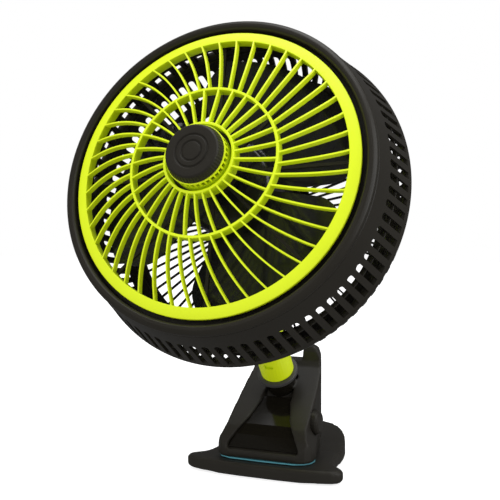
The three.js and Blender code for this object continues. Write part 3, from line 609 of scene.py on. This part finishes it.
class FAN_OT_louvre(bpy.types.Operator):
    """Makes the lime grille and its centre knob, and a thin dark ring of painted shade in
    the hub's recess.
    """

    bl_idname = "fan.louvre"
    bl_label = "Louvre"

    def execute(self, context):
        settings = context.scene.fan_louvre
        place = head_place()
        item = piece(
            "louvre",
            merged(louvre_forms(settings), hub_form()),
            "lime",
            "louvre",
            ["louvre_grille"],
            place,
        )
        bevelled(item, 0.3, 2)
        knob = piece(
            "knob", knob_form(settings.ribs), "dark", "louvre", ["centre_knob"], place
        )
        # Painted shade: a thin dark plastic ring on the lime hub floor, between the knob's
        # collar and the hub ring, stands in for the shadow deep in the hub's recess.
        painted_shade_ring = turned(
            eased([(24.0, 14.8), (26.5, 14.8), (26.5, 15.2), (24.0, 15.2)], 0.1), 96
        )
        item = piece("hub_painted_shade_ring", painted_shade_ring, "dark", "louvre", (), place)
        return {"FINISHED"}


# ---------------------------------------------------------------- case

SEAM_HEIGHT = -5.2
SLOT_FRONT = -22.5
SLOT_REAR = -54.0
RIM_HEIGHT = -60.0
LIP_INNER = 121.6
SKIRT_FRONT = 129.8
SKIRT_REAR = 142.6
SKIRT_WALL = 2.2
ROUND_STEPS = 243
CUT_REACH = 14
FIN_DEPTH = 2.0
FIN_WIDTH = 1.9
HOOP_HEIGHT = -38
HOOP_DEPTH = 3
REAR_SLOT_FRONT = -72.0
REAR_SLOT_REAR = -94.0
GRILLE_RADIUS = 116.7
BAR_WIDTH = 1.5
BAR_DEPTH = 2.3


def side_radius(height):
    """Outside of the case's side wall at a height."""
    share = (height - SEAM_HEIGHT) / (SLOT_REAR - SEAM_HEIGHT)
    return SKIRT_FRONT + (SKIRT_REAR - SKIRT_FRONT) * share


def slot_cutters(count, width, front, rear, radius):
    """Long windows with round front ends, standing out from Z."""
    half = width / 2
    outline = [(half, rear)]
    for step in range(9):
        angle = math.pi * step / 8
        outline.append((half * math.cos(angle), front - half + half * math.sin(angle)))
    outline.append((-half, rear))
    bm = prism(outline, radius - CUT_REACH, radius + CUT_REACH)
    outwards = Matrix(((0, 0, 1), (1, 0, 0), (0, 1, 0)))
    bmesh.ops.rotate(bm, verts=bm.verts, matrix=outwards)
    repeat_round(bm, count)
    return bm


def front_case_form(settings):
    """The bezel lip, the slotted skirt and the rim, in one turned wall."""
    lip = [(LIP_INNER, -8.5), (LIP_INNER, -0.8), (LIP_INNER + 1.8, 1.5)]
    lip += [(LIP_INNER + 4.6, 1.7), (129.2, -0.8), (130.0, -3.4)]
    skirt = [(129.3, SEAM_HEIGHT), (129.9, SEAM_HEIGHT - 0.7)]
    skirt += [(side_radius(SLOT_REAR - 1), SLOT_REAR - 1)]
    skirt += [(settings.rim_radius, RIM_HEIGHT + 2.0), (settings.rim_radius, RIM_HEIGHT)]
    inside = [(137.5, RIM_HEIGHT), (137.5, SLOT_REAR - 1)]
    inside += [(side_radius(SLOT_REAR) - SKIRT_WALL - 0.2, SLOT_REAR)]
    inside += [(side_radius(SLOT_FRONT) - SKIRT_WALL, SLOT_FRONT), (127.2, -4.0)]
    inside += [(LIP_INNER + 2.2, -2.4), (LIP_INNER + 2.2, -8.5)]
    wall = turned(eased(lip + skirt + inside, 0.9), ROUND_STEPS)
    cutters = slot_cutters(
        settings.slots, settings.slot_width, SLOT_FRONT, SLOT_REAR, 138.0
    )
    return cut_out(wall, cutters)


def rear_case_form(settings):
    """The slotted rear half, which narrows to the rear ring."""
    top = RIM_HEIGHT - 0.3
    outline = [(settings.rim_radius - 0.8, top), (141.6, top - 4)]
    outline += [(139.0, -78.0), (133.5, -90.0), (125.0, -98.0)]
    outline += [(122.0, -101.0), (117.0, -101.0), (117.0, -96.2), (122.2, -96.2)]
    outline += [(131.5, -88.6), (136.6, -77.4), (138.0, top - 4), (137.0, top)]
    wall = turned(eased(outline, 1.6), ROUND_STEPS)
    cutters = slot_cutters(
        settings.slots, settings.slot_width, REAR_SLOT_FRONT, REAR_SLOT_REAR, 132.0
    )
    return cut_out(wall, cutters)


def straight_bar(start, end, width, depth):
    """A flat bar from one (radius, height) to another, in the plane of Z."""
    (r0, z0), (r1, z1) = start, end
    bm = bmesh.new()
    bmesh.ops.create_cube(bm, size=1)
    bmesh.ops.scale(
        bm, vec=(depth, width, math.hypot(r1 - r0, z1 - z0)), verts=bm.verts
    )
    lean = Matrix.Rotation(math.atan2(r1 - r0, z1 - z0), 3, "Y")
    bmesh.ops.rotate(bm, verts=bm.verts, matrix=lean)
    bmesh.ops.translate(bm, vec=((r0 + r1) / 2, 0, (z0 + z1) / 2), verts=bm.verts)
    return bm


def fin_forms(settings):
    """Fins that stand inwards from the bars between the side slots."""
    inset = SKIRT_WALL + FIN_DEPTH / 2
    bm = straight_bar(
        (side_radius(SLOT_FRONT) - inset, SLOT_FRONT),
        (side_radius(SLOT_REAR) - inset, SLOT_REAR),
        FIN_WIDTH,
        FIN_DEPTH,
    )
    half_pitch = Matrix.Rotation(math.pi / settings.slots, 3, "Z")
    bmesh.ops.rotate(bm, verts=bm.verts, matrix=half_pitch)
    repeat_round(bm, settings.slots)
    return bm


def hoop_form():
    """The hoop that ties the fins together inside the skirt."""
    outer = side_radius(HOOP_HEIGHT) - 1.4
    inner = outer - HOOP_DEPTH
    rear = HOOP_HEIGHT - 1.2
    front = HOOP_HEIGHT + 1.0
    outline = [(inner, rear), (outer, rear), (outer, front), (inner, front)]
    return turned(eased(outline, 0.4), 162)


def rear_grille_form(settings):
    """Thin bars between the rear ring and the motor plate."""
    outer = GRILLE_RADIUS
    inner = outer - 4
    rim = turned(eased([(inner, -101), (outer, -101), (outer, -97), (inner, -97)], 0.7))
    hub = turned(eased([(12, -108), (43, -108), (43, -105), (12, -105)], 0.6), 96)
    bars = straight_bar((outer - 2, -99.2), (42, -106.5), BAR_WIDTH, BAR_DEPTH)
    repeat_round(bars, settings.rear_bars)
    pad = block((44, 53.2, 4), (0, -64.6, -106))
    return merged(rim, hub, bars, pad)


class FAN_OT_case(bpy.types.Operator):
    """Makes the slotted case, its fins and hoop, the rear half and the rear grille."""

    bl_idname = "fan.case"
    bl_label = "Case"

    def execute(self, context):
        settings = context.scene.fan_case
        place = head_place()
        item = piece(
            "case_front", front_case_form(settings), "wall", "head", ["front_case"], place
        )
        bevelled(item, 0.25, 2)
        item = piece(
            "case_rear", rear_case_form(settings), "wall", "head", ["rear_case"], place
        )
        bevelled(item, 0.25, 2)
        inner = merged(fin_forms(settings), hoop_form())
        item = piece("case_fins", inner, "wall", "head", (), place)
        bars = rear_grille_form(settings)
        item = piece("grille_bars", bars, "dark", "head", ["rear_grille"], place)
        bevelled(item, 0.35, 2)
        return {"FINISHED"}


# ---------------------------------------------------------------- impeller

BLADE_PHASE = 59.0
BLADE_SPAN = 104
BLADE_ROOT = 39.0
BLADE_TIP = 111.0
BLADE_MIDDLE = -46
BLADE_WALL = 1.7
BLADE_CAMBER = 5
BLADES = 3


def blade_form():
    """One wide blade with rounded outer corners."""
    bm = bmesh.new()
    bmesh.ops.create_grid(bm, x_segments=16, y_segments=24, size=0.5)
    for vert in bm.verts:
        out = vert.co.x + 0.5
        across = vert.co.y
        radius = BLADE_ROOT + (BLADE_TIP - BLADE_ROOT) * out
        rounding = 1 - 0.28 * max(0.0, out - 0.55) ** 2 / 0.2
        angle = math.radians(BLADE_SPAN * across * rounding)
        lift = (26 + 8 * out) * across
        camber = BLADE_CAMBER * (0.25 - across * across) * out
        vert.co = (
            radius * math.cos(angle),
            radius * math.sin(angle),
            BLADE_MIDDLE + lift + camber,
        )
    bmesh.ops.solidify(bm, geom=bm.faces[:], thickness=BLADE_WALL)
    bmesh.ops.recalc_face_normals(bm, faces=bm.faces)
    return bm


class FAN_OT_impeller(bpy.types.Operator):
    """Makes the three-blade impeller with its hub."""

    bl_idname = "fan.impeller"
    bl_label = "Impeller"

    def execute(self, context):
        blades = blade_form()
        repeat_round(blades, BLADES)
        turn = Matrix.Rotation(math.radians(BLADE_PHASE), 3, "Z")
        bmesh.ops.rotate(blades, verts=blades.verts, matrix=turn)
        hub = [(4.3, -60), (8, -60), (8, -28.5), (34, -30), (38, -33), (38, -64)]
        hub += [(40, -64), (40, -32), (35, -27.5), (22, -26), (4.3, -26)]
        item = piece(
            "impeller_form",
            merged(blades, turned(eased(hub, 1.2), 96)),
            "smoke",
            "fan",
            ["impeller"],
            head_place(),
            50,
        )
        return {"FINISHED"}


# ---------------------------------------------------------------- neck


class FAN_OT_neck(bpy.types.Operator):
    """Makes the grey collar and the glossy sleeve, and finishes the lime neck."""

    bl_idname = "fan.neck"
    bl_label = "Neck"

    def execute(self, context):
        place = neck_place()
        collar = [(9.8, -4.5), (19.1, -4.5), (20.0, -3.6)]
        collar += [(20.0, -0.8), (18.9, 0), (9.8, 0)]
        collar = turned(eased(collar, 0.6), 96)
        item = piece("collar", collar, "grey", "stem", ["swivel_collar"], place)
        dress("neck", "lime", 0.6, 3)
        sleeve = [(10.4, -24.0), (13.7, -24.0), (13.7, -5.1), (10.4, -5.1)]
        item = piece(
            "socket_sleeve", turned(eased(sleeve, 0.4), 64), "gloss", "clip", (), place
        )
        return {"FINISHED"}


# ---------------------------------------------------------------- clip

PAD_LOW = 13.3
PAD_TOP = 14.3
PAD_HALF = [
    (31, -61), (40, -57.5), (45, -51), (46, -43), (43.5, -32), (40.5, -20), (38, -15)
]


class FAN_OT_clip(bpy.types.Operator):
    """Finishes the clip, its pads and the switch."""

    bl_idname = "fan.clip"
    bl_label = "Clip"

    def execute(self, context):
        for node in ("lower_jaw", "clip_body", "clip_rear_cover"):
            softened(dress(node, "ridge"))
        dress("face_insert", "gloss", 0.3)
        outline = [(0, -62)] + PAD_HALF + [(-x, y) for x, y in reversed(PAD_HALF)]
        pad = prism(outline, PAD_LOW, PAD_TOP)
        item = piece("pad_edge", pad, "blue", "clip", ["upper_pad"])
        dress("lower_pad", "rubber", 0.3)
        dress("sole_pad", "rubber", 0.3)
        dress("cord_gland", "rubber", 0.3)
        dress("switch_knob", "dark", 0.5, 3)
        dress("switch_body", "grey", 0.4)
        return {"FINISHED"}


class FAN_OT_inside(bpy.types.Operator):
    """Finishes the pieces inside and behind the case."""

    bl_idname = "fan.inside"
    bl_label = "Inner pieces"

    def execute(self, context):
        for node in ("louvre_spider", "motor_cap", "tilt_bracket"):
            dress(node, "dark", 0.4)
        for node in ("motor_front_shell", "motor_rear_shell", "impeller_cap"):
            dress(node, "dark", 0.5)
        for node in ("hinge_pin", "jaw_spring", "neck_nut", "tilt_bolt", "tilt_nut"):
            dress(node, "steel", 0.2)
        for node in ("louvre_spindle", "stator", "motor_shaft", "rotor", "ballast_plate"):
            dress(node, "steel", 0.2)
        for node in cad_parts:
            if "screw" in node:
                dress(node, "steel", 0.2)
            if "winding" in node:
                dress(node, "copper", 0.4)
            if node == "louvre_bush" or "bearing" in node:
                dress(node, "brass", 0.2)
        return {"FINISHED"}


# ---------------------------------------------------------------- stage

FAN_MIDDLE = Vector((0, -0.1, 0.2))
CAMERA_AT = (0.2400, -0.6975, 0.2181)
CAMERA_LOOK = Vector((-0.3661, 0.9304, -0.01745))
LENS = 54
SENSOR = 36


def area_lamp(name, spot, size, power, mirrored=True):
    """A flat lamp aimed at the fan, which glossy faces may or may not mirror."""
    data = bpy.data.lights.new(name, "AREA")
    data.shape = "RECTANGLE"
    data.size, data.size_y = size
    data.energy = power
    lamp = bpy.data.objects.new(name, data)
    lamp.location = spot
    aim = FAN_MIDDLE - Vector(spot)
    lamp.rotation_euler = aim.to_track_quat("-Z", "Y").to_euler()
    lamp.visible_glossy = mirrored
    bpy.context.scene.collection.objects.link(lamp)


def white_world(light, mirrored, seen):
    """An even white room, dimmer in reflections, that the camera sees as plain white."""
    world = bpy.data.worlds.new("white room")
    world.use_nodes = True
    bpy.context.scene.world = world
    tree = world.node_tree
    tree.nodes.clear()
    path = tree.nodes.new("ShaderNodeLightPath")

    def white(strength):
        shine = tree.nodes.new("ShaderNodeBackground")
        shine.inputs["Color"].default_value = (1, 1, 1, 1)
        shine.inputs["Strength"].default_value = strength
        return shine

    def either(ray, otherwise, chosen):
        mix = tree.nodes.new("ShaderNodeMixShader")
        tree.links.new(path.outputs[ray], mix.inputs[0])
        tree.links.new(otherwise.outputs[0], mix.inputs[1])
        tree.links.new(chosen.outputs[0], mix.inputs[2])
        return mix

    unseen = either("Is Glossy Ray", white(light), white(mirrored))
    whole = either("Is Camera Ray", unseen, white(seen))
    out = tree.nodes.new("ShaderNodeOutputWorld")
    tree.links.new(whole.outputs[0], out.inputs["Surface"])


def floor_material():
    """White paper floor that keeps the contact shadow."""
    shader = Shader("white floor")
    grain = shader.noise(60.0, 2.0)
    return shader.set(
        Base_Color=shader.blend(grain, (0.6, 0.6, 0.6, 1), (0.63, 0.63, 0.63, 1)),
        Roughness=0.9,
        Specular_IOR_Level=0.0,
        Emission_Color=(1, 1, 1, 1),
        Emission_Strength=0.75,
    )


class FAN_OT_stage(bpy.types.Operator):
    """Sets the floor, the lamps and the camera."""

    bl_idname = "fan.stage"
    bl_label = "Stage"

    def execute(self, context):
        bm = bmesh.new()
        bmesh.ops.create_grid(bm, x_segments=1, y_segments=1, size=6)
        bmesh.ops.translate(bm, verts=bm.verts, vec=(0, 0, -0.0005))
        floor = loose_object(bm, "floor")
        floor.data.materials.append(floor_material())
        floor.visible_diffuse = False
        floor.visible_glossy = False
        white_world(0.75, 0.12, 1.0)
        area_lamp("top lamp", (0.1, -0.2, 1.6), (1.4, 1.4), 12)
        area_lamp("right lamp", (1.4, -0.3, 0.7), (0.8, 1.4), 8)
        area_lamp("front lamp", (-0.6, -1.6, 0.8), (1.0, 1.0), 9, False)
        data = bpy.data.cameras.new("camera")
        data.lens = LENS
        data.sensor_width = SENSOR
        camera = bpy.data.objects.new("camera", data)
        camera.location = CAMERA_AT
        camera.rotation_euler = CAMERA_LOOK.to_track_quat("-Z", "Y").to_euler()
        context.scene.collection.objects.link(camera)
        context.scene.camera = camera
        context.scene.view_settings.view_transform = "Standard"
        return {"FINISHED"}


class FAN_PT_panel(bpy.types.Panel):
    """The fan's settings and buttons."""

    bl_idname = "FAN_PT_panel"
    bl_label = "Clip fan"
    bl_space_type = "VIEW_3D"
    bl_region_type = "UI"
    bl_category = "Clip fan"

    def draw(self, context):
        for group in (
            context.scene.fan_louvre,
            context.scene.fan_case,
            context.scene.fan_finish,
        ):
            for key in group.__annotations__:
                self.layout.prop(group, key)
        for operator in OPERATORS:
            self.layout.operator(operator.bl_idname)


GROUPS = {
    "fan_louvre": LouvreSettings,
    "fan_case": CaseSettings,
    "fan_finish": FinishSettings,
}
OPERATORS = (
    FAN_OT_louvre,
    FAN_OT_case,
    FAN_OT_impeller,
    FAN_OT_neck,
    FAN_OT_clip,
    FAN_OT_inside,
    FAN_OT_stage,
)


def register():
    for name, group in GROUPS.items():
        bpy.utils.register_class(group)
        setattr(bpy.types.Scene, name, bpy.props.PointerProperty(type=group))
    for item in OPERATORS + (FAN_PT_panel,):
        bpy.utils.register_class(item)


def unregister():
    for item in reversed(OPERATORS + (FAN_PT_panel,)):
        bpy.utils.unregister_class(item)
    for name, group in GROUPS.items():
        delattr(bpy.types.Scene, name)
        bpy.utils.unregister_class(group)


def main():
    register()
    bpy.ops.fan.louvre()
    bpy.ops.fan.case()
    bpy.ops.fan.impeller()
    bpy.ops.fan.neck()
    bpy.ops.fan.clip()
    bpy.ops.fan.inside()
    bpy.ops.fan.stage()


if __name__ == "__main__":
    main()
